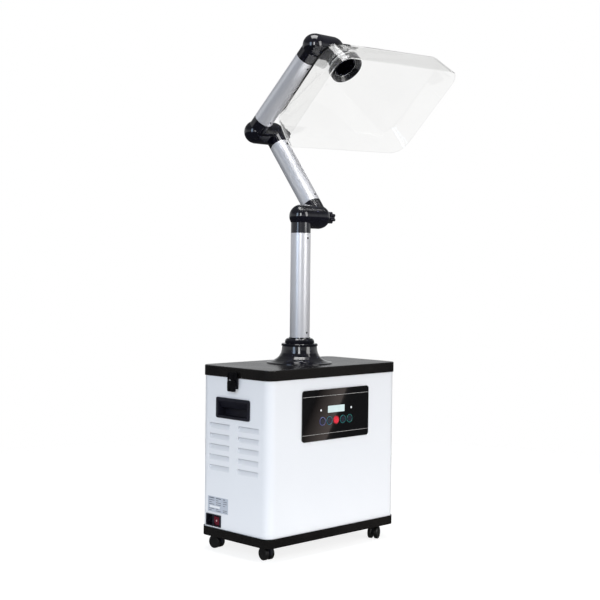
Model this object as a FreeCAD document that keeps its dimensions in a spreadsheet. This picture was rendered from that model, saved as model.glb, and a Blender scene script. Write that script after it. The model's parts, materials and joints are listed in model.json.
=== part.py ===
import FreeCAD
import Part
import Sketcher
import math
import os
import re
from FreeCAD import Placement, Rotation, Vector

# Salon fume extractor: a filter cabinet on castors, a three-joint duct arm and a clear hood.
# Millimetres. The origin is on the floor under the middle of the cabinet, +Z is up, the control
# panel faces -Y, and every arm joint turns about an axis along X.

SIZES = {
    # cabinet
    "case_width": 450, "case_depth": 240, "case_corner": 22, "case_wall": 1.5, "seam_gap": 0.1,
    "overhang": 2.5, "rim_bottom": 37, "rim_height": 22, "tray_floor": 4,
    "lid_bottom": 430, "lid_height": 25, "lid_skirt": 8, "lid_top": 4, "lid_edge": 2,
    "duct_hole_radius": 29,
    # control panel
    "panel_width": 235, "panel_height": 124, "panel_thick": 2.5, "panel_corner": 8,
    "panel_z": 339, "cutout_width": 200, "cutout_height": 90,
    "screen_width": 59, "screen_height": 20, "screen_z": 350.5,
    "led_x": 53.5, "led_radius": 2.5,
    "button_radius": 8.5, "button_pitch": 24, "button_z": 323.5, "button_proud": 1.4,
    "button_length": 10, "button_gap": 0.3,
    # side handles, louvres and mains inlet
    "handle_y": 5, "handle_z": 355, "handle_width": 120, "handle_height": 50,
    "handle_corner": 5, "handle_rim": 6, "handle_dish": 9, "grip_depth": 22, "cup_wall": 2,
    "louvre_width": 73, "louvre_rise": 14, "louvre_depth": 6, "louvre_wall": 1.2,
    "louvre_pitch": 25.7, "louvre_top": 315.5, "louvre_rows": 5,
    "louvre_back_y": 54, "louvre_front_y": -49,
    "inlet_y": 72, "inlet_z": 77, "inlet_width": 54, "inlet_height": 29, "inlet_depth": 30,
    "socket_width": 20, "socket_height": 24, "socket_offset": 13, "socket_depth": 18,
    "rocker_width": 18, "rocker_height": 22, "rocker_offset": 13, "rocker_gap": 0.4,
    "rocker_tilt": 10, "rocker_pin": 1,
    # latches
    "latch_y": 0, "latch_pivot_out": 7, "latch_pivot_z": 421, "latch_arm": 8,
    "latch_reach": 28, "latch_pin_radius": 1.5, "latch_width": 28.6, "latch_corner": 4,
    "lever_low": 398, "lever_height": 26, "hook_width": 18, "bail_gauge": 1.8, "ear_gauge": 2,
    "pin_clearance": 0.05,
    # filters and blower
    "filter_width": 380, "filter_depth": 190, "filter_y": 12.5, "shelf_z": 322, "shelf_thick": 3,
    "pocket_width": 208, "pocket_height": 96, "pocket_depth": 32, "pocket_wall": 1.5,
    "carbon_height": 30, "hepa_height": 60, "prefilter_height": 12,
    "drum_radius": 85.5, "drum_height": 126, "drum_wall": 2, "inlet_ring_radius": 60,
    "motor_radius": 42, "motor_height": 66, "shaft_radius": 4,
    "wheel_radius": 78, "wheel_height": 70, "blade_count": 24,
    # castors
    "castor_x": 188, "castor_y": 88, "castor_wheel_radius": 16, "castor_wheel_width": 10,
    "castor_trail": 12, "castor_plate": 40, "castor_plate_thick": 2.5, "castor_web": 5,
    "castor_edge": 1.5, "fork_start": 14, "stem_start": 18, "fork_gap": 2.2,
    "castor_stem_radius": 3, "castor_axle_radius": 2,
    # arm
    "arm_y": 8, "flange_radius": 82.5, "horn_height": 49, "horn_ring_radius": 45.5,
    "collar_radius": 36.8, "collar_height": 13, "spigot_radius": 31, "spigot_drop": 28,
    "tube_radius": 25, "tube_wall": 1.5, "elbow_span": 63, "lower_joint_z": 824,
    "lower_length": 281, "lower_tilt": 37.6, "upper_length": 291, "upper_tilt": 46.7,
    "head_tilt": 43, "ball_radius": 29.6, "drum_joint_radius": 30, "elbow_wall": 4,
    "joint_gap": 0.3, "socket_length": 42, "plug_length": 26, "plug_clearance": 0.05,
    "bore_radius": 20, "stud_radius": 3, "knob_radius": 11, "knob_height": 16,
    "lobe_radius": 4, "lobe_count": 6, "screw_radius": 1.6, "screw_head_radius": 2.6,
    "screw_inset": 13,
    # hood and nozzle
    "neck_radius": 28, "neck_wall": 3, "neck_start": 34.2, "neck_end": 68.5,
    "head_socket": 46, "seat_wall": 1.6, "clamp_start": 56, "clamp_radius": 42,
    "hood_start": 62, "hood_bend": 150, "hood_rim": 215, "hood_wall": 3,
    "hood_plate": 116, "hood_width": 422, "hood_depth": 280, "hood_flare_x": 6,
    "hood_flare_y": 11, "hood_corner": 40, "hood_offset": 6, "hood_rest_turn": 2.2,
    "ring_radius": 42.5, "ring_length": 15,
}

doc = FreeCAD.newDocument("fume_extractor")
sheet = doc.addObject("Spreadsheet::Sheet", "params")
for row, (alias, value) in enumerate(SIZES.items(), start=1):
    sheet.set(f"A{row}", alias)
    sheet.set(f"B{row}", str(value))
    sheet.setAlias(f"B{row}", alias)
doc.recompute()

NODES = []
ALIAS = re.compile(r"\b(" + "|".join(sorted(SIZES, key=len, reverse=True)) + r")\b")


def size(alias):
    """A driving dimension as the sheet holds it."""
    return float(sheet.get(alias))


def cells(text):
    """An expression whose driving dimensions are read from the sheet."""
    return ALIAS.sub(r"params.\1", str(text))


def bind(obj, **sizes):
    """Bind properties of an object to expressions of the driving dimensions."""
    for name, text in sizes.items():
        obj.setExpression(name, cells(text))


def at(obj, x, y, z):
    """Bind an object's position to expressions."""
    for letter, text in zip("xyz", (x, y, z)):
        obj.setExpression(f"Placement.Base.{letter}", cells(text))


def box(name, lengths, corner):
    """A Part::Box with its low corner at a point."""
    obj = doc.addObject("Part::Box", name)
    bind(obj, Length=lengths[0], Width=lengths[1], Height=lengths[2])
    at(obj, *corner)
    return obj


TURNS = {
    "+Z": Rotation(),
    "-Z": Rotation(Vector(1, 0, 0), 180),
    "+X": Rotation(Vector(0, 1, 0), 90),
    "-X": Rotation(Vector(0, 1, 0), -90),
    "+Y": Rotation(Vector(1, 0, 0), -90),
    "-Y": Rotation(Vector(1, 0, 0), 90),
}


def cylinder(name, radius, height, start=(0, 0, 0), toward="+Z"):
    """A Part::Cylinder from a point along one of the axes."""
    obj = doc.addObject("Part::Cylinder", name)
    obj.Placement = Placement(Vector(), TURNS[toward])
    bind(obj, Radius=radius, Height=height)
    at(obj, *start)
    return obj


def cone(name, low_radius, high_radius, height, start=(0, 0, 0), toward="+Z"):
    """A Part::Cone from a point along one of the axes."""
    obj = doc.addObject("Part::Cone", name)
    obj.Placement = Placement(Vector(), TURNS[toward])
    bind(obj, Radius1=low_radius, Radius2=high_radius, Height=height)
    at(obj, *start)
    return obj


def sphere(name, radius, centre=(0, 0, 0)):
    """A Part::Sphere about a point."""
    obj = doc.addObject("Part::Sphere", name)
    bind(obj, Radius=radius)
    at(obj, *centre)
    return obj


def fuse(name, shapes):
    """The union of several objects."""
    if len(shapes) == 1:
        return shapes[0]
    obj = doc.addObject("Part::MultiFuse", name)
    obj.Shapes = shapes
    obj.Refine = True
    return obj


def cut(name, base, tools):
    """One object less several others."""
    obj = doc.addObject("Part::Cut", name)
    obj.Base = base
    obj.Tool = fuse(name + "_tools", tools)
    return obj


def group(name, shapes):
    """Separate solids kept as one object."""
    obj = doc.addObject("Part::Compound", name)
    obj.Links = shapes
    return obj


def feature(name, shape):
    """A Part::Feature with a shape of its own."""
    obj = doc.addObject("Part::Feature", name)
    obj.Shape = shape
    return obj


def node(label, obj, place=None):
    """Keep an object as a sub-part: its label names its file."""
    obj.Label = label
    if place is not None:
        obj.Placement = place
    NODES.append(obj)
    return obj


def rounded_block(name, width, depth, height, bottom, corner, x="0", y="0", edge=None):
    """A PartDesign block centred at x, y, with rounded upright edges."""
    body = doc.addObject("PartDesign::Body", name)
    block = body.newObject("PartDesign::AdditiveBox", name + "_block")
    bind(block, Length=width, Width=depth, Height=height)
    doc.recompute()
    upright = [
        f"Edge{i}"
        for i, e in enumerate(block.Shape.Edges, start=1)
        if abs(e.tangentAt(e.FirstParameter).z) > 0.99
    ]
    rounding = body.newObject("PartDesign::Fillet", name + "_rounding")
    rounding.Base = (block, upright)
    bind(rounding, Radius=corner)
    doc.recompute()
    if edge is not None:
        top = rounding.Shape.BoundBox.ZMax
        rim = [
            f"Edge{i}"
            for i, e in enumerate(rounding.Shape.Edges, start=1)
            if e.BoundBox.ZMin > top - 0.01
        ]
        softened = body.newObject("PartDesign::Fillet", name + "_softened")
        softened.Base = (rounding, rim)
        bind(softened, Radius=edge)
    at(body, f"{x} - ({width})/2", f"{y} - ({depth})/2", bottom)
    return body


def rounded_plate(name, lengths, corner, axis, radius):
    """A PartDesign block with its low corner at a point and its edges along one axis rounded."""
    body = doc.addObject("PartDesign::Body", name)
    block = body.newObject("PartDesign::AdditiveBox", name + "_block")
    bind(block, Length=lengths[0], Width=lengths[1], Height=lengths[2])
    doc.recompute()
    edges = [
        f"Edge{i}"
        for i, e in enumerate(block.Shape.Edges, start=1)
        if abs(getattr(e.tangentAt(e.FirstParameter), axis)) > 0.99
    ]
    rounding = body.newObject("PartDesign::Fillet", name + "_rounding")
    rounding.Base = (block, edges)
    bind(rounding, Radius=radius)
    at(body, *corner)
    return body


def origin_plane(body, role):
    """One of a body's own origin planes."""
    return next(f for f in body.Origin.OriginFeatures if f.Role == role)


def sketch_on(body, name, role):
    """A sketch on one of a body's own origin planes."""
    drawing = body.newObject("Sketcher::SketchObject", name)
    drawing.AttachmentSupport = (origin_plane(body, role), [""])
    drawing.MapMode = "FlatFace"
    return drawing


def revolved(name, outline):
    """A PartDesign body turned about Z from (radius, height) points, each an expression."""
    body = doc.addObject("PartDesign::Body", name)
    drawing = sketch_on(body, name + "_profile", "XZ_Plane")
    for i in range(len(outline)):
        here = Vector(*(value_of(v) for v in outline[i]), 0)
        there = Vector(*(value_of(v) for v in outline[(i + 1) % len(outline)]), 0)
        drawing.addGeometry(Part.LineSegment(here, there))
    for i, point in enumerate(outline):
        drawing.addConstraint(join_of(i, len(outline)))
        for kind, text in zip(("DistanceX", "DistanceY"), point):
            pin_coordinate(drawing, kind, i, text)
    turn = body.newObject("PartDesign::Revolution", name + "_turn")
    turn.Profile = drawing
    turn.ReferenceAxis = (drawing, ["V_Axis"])
    turn.Angle = 360
    return body


def join_of(i, count):
    """The end of line i meets the start of the next line."""
    return Sketcher.Constraint("Coincident", i, 2, (i + 1) % count, 1)


def pin_coordinate(drawing, kind, i, text):
    """Hold one coordinate of the start of line i at an expression."""
    value = value_of(text)
    if abs(value) < 1e-9:
        other = "PointOnObject"
        axis = -2 if kind == "DistanceX" else -1
        drawing.addConstraint(Sketcher.Constraint(other, i, 1, axis))
        return
    index = drawing.addConstraint(Sketcher.Constraint(kind, -1, 1, i, 1, value))
    drawing.setExpression(f"Constraints[{index}]", cells(text))


def value_of(text):
    """The number an expression stands for now."""
    if isinstance(text, (int, float)):
        return float(text)
    return float(sheet.evalExpression(cells(text)))


# ---------------------------------------------------------------- cabinet


def louvre(side, y, top):
    """One inward-pressed louvre: its metal and the space in front of the blade."""
    wall = side * size("case_width") / 2
    rise = size("louvre_rise")
    depth = size("louvre_depth")
    thick = size("louvre_wall")
    width = size("louvre_width")
    metal = prism(side, wall, y, width + 2 * thick, [(0.2, top - rise - 2 * thick),
                  (-depth - thick, top), (0.2, top)])
    space = prism(side, wall, y, width, [(0.4, top - rise), (-depth, top),
                  (-depth, top + 0.1), (0.4, top + 0.1)])
    return metal, space


def prism(side, wall, y, width, outline):
    """An upright outline of (outward, height) points drawn along Y."""
    points = [Vector(wall + side * u, y - width / 2, z) for u, z in outline]
    face = Part.Face(Part.makePolygon(points + points[:1]))
    return face.extrude(Vector(0, width, 0))


def make_cabinet_shell():
    bottom = "rim_bottom + tray_floor"
    height = "lid_bottom - rim_bottom - tray_floor"
    outer = rounded_block("shell_outer", "case_width", "case_depth", height, bottom, "case_corner")
    inner = rounded_block(
        "shell_inner", "case_width - 2*case_wall", "case_depth - 2*case_wall",
        height, bottom, "case_corner - case_wall")
    windows = [
        box("panel_cutout", ("cutout_width", "4", "cutout_height"),
            ("-cutout_width/2", "-case_depth/2 - 1", "panel_z - cutout_height/2")),
        box("inlet_cutout", ("4", "inlet_width - 3.4", "inlet_height - 3.4"),
            ("-case_width/2 - 1", "inlet_y - inlet_width/2 + 1.7",
             "inlet_z - inlet_height/2 + 1.7")),
    ]
    metals = []
    spaces = []
    for side in (-1, 1):
        windows.append(
            box("handle_cutout", ("4", "handle_width - 11", "handle_height - 5"),
                (f"{side}*case_width/2 - 2", "handle_y - handle_width/2 + 5.5",
                 "handle_z - handle_height/2 + 2.5")))
        for y in (size("louvre_back_y"), size("louvre_front_y")):
            for row in range(int(size("louvre_rows"))):
                top = size("louvre_top") - row * size("louvre_pitch")
                metal, space = louvre(side, y, top)
                metals.append(metal)
                spaces.append(space)
    wrap = cut("shell_wrap", outer, [inner] + windows)
    pressed = fuse("shell_pressed", [wrap, feature("louvre_metal", Part.makeCompound(metals))])
    doc.recompute()
    open_louvres = cut("shell_open", pressed, [feature("louvre_space", Part.makeCompound(spaces))])
    trimmed = doc.addObject("Part::Common", "shell_trimmed")
    trimmed.Base = open_louvres
    trimmed.Tool = outer
    node("cabinet_shell", group("shell_sheets", sheets_of(trimmed)))


def sheets_of(shell):
    """The casing's four sheets: front and back with their rounded corners, and flat sides."""
    seam = "(case_depth/2 - case_corner)"
    high = "lid_bottom"
    margin = "case_width + 10"
    span = "(case_corner + 1)"
    side_depth = "case_width/2"
    cutters = [
        box("front_part", (margin, span, high),
            ("-case_width/2 - 5", f"-{seam} - {span} - seam_gap/2", "0")),
        box("back_part", (margin, span, high),
            ("-case_width/2 - 5", f"{seam} + seam_gap/2", "0")),
        box("left_part", (side_depth, f"2*{seam} - seam_gap", high),
            ("-case_width/2 - 5", f"-{seam} + seam_gap/2", "0")),
        box("right_part", (side_depth, f"2*{seam} - seam_gap", high),
            ("5", f"-{seam} + seam_gap/2", "0")),
    ]
    sheets = []
    for cutter in cutters:
        sheet = doc.addObject("Part::Common", "shell_sheet")
        sheet.Base = shell
        sheet.Tool = cutter
        sheets.append(sheet)
    return sheets


def make_base_tray():
    outer = rounded_block(
        "tray_outer", "case_width + 2*overhang", "case_depth + 2*overhang", "rim_height",
        "rim_bottom", "case_corner + overhang")
    well = rounded_block(
        "tray_well", "case_width + 0.2", "case_depth + 0.2", "rim_height",
        "rim_bottom + tray_floor", "case_corner + 0.1")
    node("base_tray", cut("tray", outer, [well]))


def make_lid():
    width = "case_width + 2*overhang"
    depth = "case_depth + 2*overhang"
    outer = rounded_block("lid_outer", width, depth, "lid_height", "lid_bottom",
                          "case_corner + overhang", edge="lid_edge")
    hollow = rounded_block(
        "lid_hollow", f"{width} - 2*overhang - 2*lid_skirt", f"{depth} - 2*overhang - 2*lid_skirt",
        "lid_height - lid_top", "lid_bottom", "case_corner - lid_skirt")
    duct = cylinder("lid_duct", "duct_hole_radius + 4", "lid_height + 2",
                    ("0", "arm_y", "lid_bottom - 1"))
    screws = [screw_hole(i) for i in range(4)]
    node("lid", cut("lid_body", outer, [hollow, duct] + screws))


def bolt_place(i):
    """Where bolt i of the arm flange stands, as expressions."""
    angle = 45 + 90 * i
    return (f"(flange_radius - 14)*cos({angle} deg)",
            f"arm_y + (flange_radius - 14)*sin({angle} deg)")


def screw_hole(i):
    """A clearance hole for one flange bolt, through the lid and the flange's rim."""
    x, y = bolt_place(i)
    return cylinder("flange_bolt_hole", "2.2", "lid_height + 10", (x, y, "lid_bottom"))


def make_flange_screws():
    pieces = []
    for i in range(4):
        x, y = bolt_place(i)
        top = "lid_bottom + lid_height"
        shank = cylinder("flange_shank", "2", "8.5", (x, y, f"{top} - lid_top - 1.5"))
        head = cylinder("flange_head", "4", "3", (x, y, f"{top} - lid_top - 3"))
        pieces.append(fuse("flange_screw", [shank, head]))
    node("flange_screws", group("flange_screw_set", pieces))


def make_filter_gasket():
    outer = rounded_block("gasket_outer", "filter_width", "filter_depth", "20.5", "lid_bottom + 0.4",
                          "6")
    inner = rounded_block("gasket_inner", "filter_width - 28", "filter_depth - 28", "22",
                          "lid_bottom", "4")
    node("filter_gasket", cut("gasket", outer, [inner]))


def make_control_panel():
    panel = rounded_plate(
        "panel_body", ("panel_width", "panel_thick", "panel_height"),
        ("-panel_width/2", "-case_depth/2 - panel_thick", "panel_z - panel_height/2"), "y",
        "panel_corner")
    front = "-case_depth/2 - panel_thick - 1"
    windows = [
        box("screen_window", ("screen_width + 0.4", "6", "screen_height + 0.4"),
            ("-screen_width/2 - 0.2", front, "screen_z - screen_height/2 - 0.2"))
    ]
    for side in (-1, 1):
        windows.append(cylinder("led_window", "led_radius + 0.1", "6",
                                (f"{side}*led_x", front, "screen_z"), "+Y"))
    for i in range(-2, 3):
        windows.append(cylinder("button_window", "button_radius + button_gap", "6",
                                (f"{i}*button_pitch", front, "button_z"), "+Y"))
    node("control_panel", cut("panel", panel, windows))


def make_panel_parts():
    face = "-case_depth/2 - panel_thick"
    node("lcd_screen", box("screen", ("screen_width", "2", "screen_height"),
                           ("-screen_width/2", f"{face} + 0.3", "screen_z - screen_height/2")))
    lamps = []
    for side in (-1, 1):
        stem = cylinder("led_stem", "led_radius", "3", (f"{side}*led_x", f"{face} + 0.1", "screen_z"),
                        "+Y")
        lamps.append(stem)
    node("indicator_leds", group("lamps", lamps))
    board = box("board", ("cutout_width - 6", "1.6", "cutout_height - 6"),
                ("-cutout_width/2 + 3", "-case_depth/2 + 10", "panel_z - cutout_height/2 + 3"))
    chips = [
        box("transformer", ("34", "20", "28"), ("-80", "-case_depth/2 + 11", "panel_z + 4")),
        box("relay", ("20", "14", "16"), ("30", "-case_depth/2 + 11", "panel_z + 10")),
        box("processor", ("14", "4", "14"), ("-10", "-case_depth/2 + 11", "panel_z - 20")),
        box("terminal_block", ("44", "10", "10"), ("38", "-case_depth/2 + 11", "panel_z - 36")),
    ]
    node("control_board", fuse("board_assembly", [board] + chips))
    for i, name in enumerate(("timer", "slower", "power", "faster", "light")):
        make_button(f"button_{name}", i - 2)


def make_button(label, place):
    """A round push-button: a domed cap on a guided stem."""
    face = "-case_depth/2 - panel_thick"
    x = f"{place}*button_pitch"
    cap = cylinder("button_cap", "button_radius", "button_length - 1",
                   (x, f"{face} - button_proud + 1", "button_z"), "+Y")
    dome = cone("button_dome", "button_radius - 1", "button_radius", "1",
                (x, f"{face} - button_proud", "button_z"), "+Y")
    node(label, fuse("button", [cap, dome]))


def make_side_handles():
    """Recessed grips: a sloped upper face leads down to a deep pocket under a lip."""
    middle = size("handle_z")
    half = size("handle_height") / 2
    rim = size("handle_rim")
    wall = size("cup_wall")
    dish = size("handle_dish")
    deep = size("grip_depth")
    width = size("handle_width") - 2 * rim
    skin = size("case_width") / 2
    proud = size("overhang")
    cups = []
    for side in (-1, 1):
        flange = rounded_plate(
            "handle_flange", ("overhang", "handle_width", "handle_height"),
            (f"{side}*(case_width/2 + overhang/2) - overhang/2", "handle_y - handle_width/2",
             "handle_z - handle_height/2"), "x", "handle_corner")
        cup = prism(side, side * skin, size("handle_y"), width, [
            (proud / 2, middle + half - rim + wall), (-dish - wall, middle + wall),
            (-deep - wall, middle + wall), (-deep - wall, middle - half + rim - wall),
            (proud / 2, middle - half + rim - wall)])
        room = prism(side, side * skin, size("handle_y"), width - 2 * wall, [
            (proud + 1, middle + half - rim), (-dish, middle), (-deep, middle),
            (-deep, middle - half + rim), (proud + 1, middle - half + rim)])
        solid = fuse("handle_solid", [flange, feature("handle_cup", cup)])
        cups.append(cut("handle", solid, [feature("handle_room", room)]))
    node("side_handles", group("handles", cups))


def make_mains_inlet():
    outside = "-case_width/2 - 2"
    flange = box("inlet_flange", ("2", "inlet_width", "inlet_height"),
                 (outside, "inlet_y - inlet_width/2", "inlet_z - inlet_height/2"))
    case = box("inlet_case", ("inlet_depth", "inlet_width - 4", "inlet_height - 4"),
               ("-case_width/2", "inlet_y - inlet_width/2 + 2", "inlet_z - inlet_height/2 + 2"))
    socket = box("inlet_socket", ("socket_depth", "socket_width", "socket_height"),
                 (f"{outside} - 0.01", "inlet_y + socket_offset - socket_width/2",
                  "inlet_z - socket_height/2"))
    well = box("rocker_well", ("15", "rocker_width + 2*rocker_gap",
                               "rocker_height + 4*rocker_gap"),
               (f"{outside} - 0.01", "inlet_y - rocker_offset - rocker_width/2 - rocker_gap",
                "inlet_z - rocker_height/2 - 2*rocker_gap"))
    shell = cut("inlet_shell", fuse("inlet_solid", [flange, case]), [socket, well])
    pins = []
    for y, z in ((0, 4), (-5, -4), (5, -4)):
        pins.append(box("inlet_pin", ("14", "2", "5"),
                        (f"{outside} + 4.2", f"inlet_y + socket_offset + {y} - 1",
                         f"inlet_z + {z} - 2.5")))
    node("mains_inlet", fuse("inlet_assembly", [shell] + pins))


def make_rocker_switch():
    """A rocker with two flats, pivoted on its middle line, resting with its lower half in."""
    half = size("rocker_height") / 2
    lift = half * math.tan(math.radians(size("rocker_tilt")))
    thick = 7
    outline = [(0, -half), (thick - lift, -half), (thick, 0), (thick - lift, half), (0, half)]
    points = [Vector(-u, 0, z) for u, z in outline]
    face = Part.Face(Part.makePolygon(points + points[:1]))
    along = Vector(0, 1, 0)
    width = size("rocker_width")
    cap = face.extrude(along * width).fuse(Part.makeCylinder(2.4, width, Vector(), along))
    cap = cap.cut(Part.makeCylinder(size("rocker_pin"), width, Vector(), along)).removeSplitter()
    pivot = Vector(-size("case_width") / 2 + 4.6,
                   size("inlet_y") - size("rocker_offset") - size("rocker_width") / 2,
                   size("inlet_z"))
    node("rocker_switch", feature("rocker_cap", cap),
         Placement(pivot, Rotation(Vector(0, 1, 0), -size("rocker_tilt") + 2)))


def side_place(side):
    """Turn a piece drawn for the -X side to either side, about the cabinet's middle."""
    if side < 0:
        return Placement(Vector(0, size("latch_y"), 0), Rotation())
    return Placement(Vector(0, size("latch_y"), 0), Rotation(Vector(0, 0, 1), 180))


def out(distance, thick):
    """The low X of a piece on the -X side whose inner face is at a distance from the shell."""
    return f"-case_width/2 - ({distance}) - ({thick})"


def latch_base(name):
    """The plate on the shell, with two ears and the lever's pivot pin."""
    plate = box(name + "_plate", ("1.5", "26", "25.5"), (out("0", "1.5"), "-13", "404"))
    ear = ("8", "ear_gauge", "3.4")
    ears = [
        box(name + "_ear", ear, (out("0.5", "8"), y, "latch_pivot_z - 1.7"))
        for y in ("-11", "11 - ear_gauge")
    ]
    pin = cylinder(name + "_pin", "latch_pin_radius", "latch_width",
                   ("-case_width/2 - latch_pivot_out", "-latch_width/2", "latch_pivot_z"), "+Y")
    return fuse(name, [plate] + ears + [pin])


def latch_keeper(name):
    """The catch on the lid's edge, a ledge with an upturned lip that the bail hooks over."""
    skin = "overhang"
    plate = box(name + "_plate", ("1.2", "20", "10"), (out(skin, "1.2"), "-10", "432"))
    ledge = box(name + "_ledge", ("3.3", "hook_width", "3"),
                (out(skin, "3.3"), "-hook_width/2", "439"))
    lip = box(name + "_lip", ("0.6", "hook_width", "3.3"),
              (out(f"{skin} + 2.7", "0.6"), "-hook_width/2", "439"))
    return fuse(name, [plate, ledge, lip])


def latch_lever(name):
    """The lever over the pivot pin: a cover, a finger lip, two flanges and the bail's stubs."""
    gauge = "1.4"
    cover = rounded_plate(name + "_cover", ("2.5", "latch_width", "lever_height"),
                          (out("9.5", "2.5"), "-latch_width/2", "lever_low"), "x",
                          "latch_corner")
    lip = box(name + "_lip", ("1.5", "latch_width - 2*latch_corner", "4"),
              (out("11.5", "1.5"), "-latch_width/2 + latch_corner", "lever_low"))
    flanges = [
        box(name + "_flange", ("5", gauge, "15"), (out("5", "5"), y, "lever_low + 11"))
        for y in ("-latch_width/2", f"latch_width/2 - {gauge}")
    ]
    stub_start = "latch_width/2 - 1.1"
    stubs = [
        cylinder(name + "_stub", "latch_pin_radius", "bail_gauge + 2.1",
                 ("-case_width/2 - latch_pivot_out", f"{sign}({stub_start})",
                  "latch_pivot_z - latch_arm"), toward)
        for sign, toward in (("-", "-Y"), ("", "+Y"))
    ]
    hole = cylinder(name + "_hole", "latch_pin_radius + pin_clearance", "latch_width + 4",
                    ("-case_width/2 - latch_pivot_out", "-latch_width/2 - 2", "latch_pivot_z"),
                    "+Y")
    return fuse(name, [cut(name + "_drilled", fuse(name + "_pressing", [cover, lip] + flanges),
                           [hole])] + stubs)


def latch_bail(name):
    """The bail that the lever pulls down: two legs, a plate and a hook over the keeper."""
    top = "latch_pivot_z - latch_arm + latch_reach"
    outside = "(latch_width/2 + 1 + bail_gauge)"
    legs = [
        box(name + "_leg", ("3.5", "bail_gauge", "latch_reach + 4"),
            (out("5.25", "3.5"), y, "latch_pivot_z - latch_arm - 2.5"))
        for y in (f"-{outside}", f"{outside} - bail_gauge")
    ]
    plate = box(name + "_plate", ("1.5", f"2*{outside}", "18"),
                (out("6.25", "1.5"), f"-{outside}", f"{top} - 15"))
    hook = box(name + "_hook", ("4.75", "hook_width", "1.5"),
               (out("3", "4.75"), "-hook_width/2", f"{top} + 1.5"))
    tip = box(name + "_tip", ("1", "hook_width", "1.2"),
              (out("3", "1"), "-hook_width/2", f"{top} + 1.2"))
    holes = cylinder(name + "_holes", "latch_pin_radius + pin_clearance", f"2*{outside} + 2",
                     ("-case_width/2 - latch_pivot_out", f"-{outside} - 1",
                      "latch_pivot_z - latch_arm"), "+Y")
    return cut(name, fuse(name + "_pressing", legs + [plate, hook, tip]), [holes])


def make_latches():
    pairs = {"base": [], "keeper": []}
    for side, name in ((-1, "left"), (1, "right")):
        for kind, maker in (("base", latch_base), ("keeper", latch_keeper)):
            piece = maker(f"latch_{kind}_{name}")
            piece.Placement = side_place(side)
            pairs[kind].append(piece)
        node(f"latch_lever_{name}", latch_lever(f"lever_{name}"), side_place(side))
        node(f"latch_bail_{name}", latch_bail(f"bail_{name}"), side_place(side))
    node("latch_bases", group("base_pair", pairs["base"]))
    node("latch_keepers", group("keeper_pair", pairs["keeper"]))


# ---------------------------------------------------------------- filters and blower


def make_filter_shelf():
    """The plate under the filters, with a pressed pocket round the electronics."""
    plate = rounded_block(
        "shelf_plate", "case_width - 2*case_wall - 0.4", "case_depth - 2*case_wall - 14",
        "shelf_thick", "shelf_z", "case_corner - case_wall")
    eye = cylinder("shelf_eye", "inlet_ring_radius", "shelf_thick + 2", ("0", "0", "shelf_z - 1"))
    front = "-case_depth/2 + case_wall + 0.3"
    pocket = box("shelf_pocket", ("pocket_width", "pocket_depth", "pocket_height"),
                 ("-pocket_width/2", front, "panel_z - pocket_height/2"))
    room = box("shelf_pocket_room",
               ("pocket_width - 2*pocket_wall", "pocket_depth - pocket_wall + 1",
                "pocket_height - 2*pocket_wall"),
               ("-pocket_width/2 + pocket_wall", front + " - 1",
                "panel_z - pocket_height/2 + pocket_wall"))
    node("filter_shelf", cut("shelf", fuse("shelf_solid", [plate, pocket]), [eye, room]))


def make_filters():
    base = "shelf_z + shelf_thick"
    frame = box("carbon_frame", ("filter_width", "filter_depth", "carbon_height"),
                ("-filter_width/2", "filter_y - filter_depth/2", base))
    scoops = [
        box("carbon_scoop", ("filter_width - 24", "filter_depth - 24", "5"),
            ("-filter_width/2 + 12", "filter_y - filter_depth/2 + 12", z))
        for z in (f"{base} - 1", f"{base} + carbon_height - 4")
    ]
    node("carbon_filter", cut("carbon", frame, scoops))
    base = base + " + carbon_height"
    case = box("hepa_case", ("filter_width", "filter_depth", "hepa_height"),
               ("-filter_width/2", "filter_y - filter_depth/2", base))
    void = box("hepa_void", ("filter_width - 20", "filter_depth - 20", "hepa_height + 2"),
               ("-filter_width/2 + 10", "filter_y - filter_depth/2 + 10", f"{base} - 1"))
    ring = cut("hepa_ring", case, [void])
    node("hepa_filter", fuse("hepa", [ring, feature("hepa_pleats", pleats(value_of(base)))]))
    base = base + " + hepa_height"
    node("prefilter", rounded_block("prefilter_pad", "filter_width", "filter_depth",
                                    "prefilter_height", base, "6", y="filter_y"))


def pleats(bottom):
    """The folded paper of the particle filter: a zigzag strip drawn along Y."""
    width = size("filter_width") - 19
    depth = size("filter_depth") - 19
    low = bottom + 4
    high = bottom + size("hepa_height") - 4
    folds = 36
    step = width / folds
    thick = 1.6
    lower = [Vector(-width / 2 + i * step, -depth / 2, low if i % 2 else high - thick)
             for i in range(folds + 1)]
    upper = [Vector(p.x, p.y, p.z + thick * 2.5) for p in reversed(lower)]
    strip = Part.Face(Part.makePolygon(lower + upper + lower[:1])).extrude(Vector(0, depth, 0))
    strip.translate(Vector(0, size("filter_y"), 0))
    return strip


def make_blower():
    top = "shelf_z"
    bottom = "shelf_z - drum_height"
    drum = cylinder("drum_outer", "drum_radius", "drum_height", ("0", "0", bottom))
    hollow = cylinder("drum_inner", "drum_radius - drum_wall", "drum_height - 2*drum_wall",
                      ("0", "0", f"{bottom} + drum_wall"))
    eye = cylinder("drum_eye", "inlet_ring_radius", "8", ("0", "0", f"{top} - 4"))
    shaft = cylinder("drum_shaft_hole", "12", "8", ("0", "0", f"{bottom} - 2"))
    ports = box("drum_ports", ("2*drum_radius + 10", "90", "drum_height - 40"),
                ("-drum_radius - 5", "-45", f"{bottom} + 20"))
    node("blower_housing", cut("drum", drum, [hollow, eye, shaft, ports]))
    can = cylinder("motor_can", "motor_radius", "motor_height", ("0", "0",
                   f"{bottom} - motor_height"))
    spindle = cylinder("motor_spindle", "shaft_radius", "60", ("0", "0", bottom))
    node("blower_motor", fuse("motor", [can, spindle]))
    make_impeller(value_of(bottom) + 24)


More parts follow.
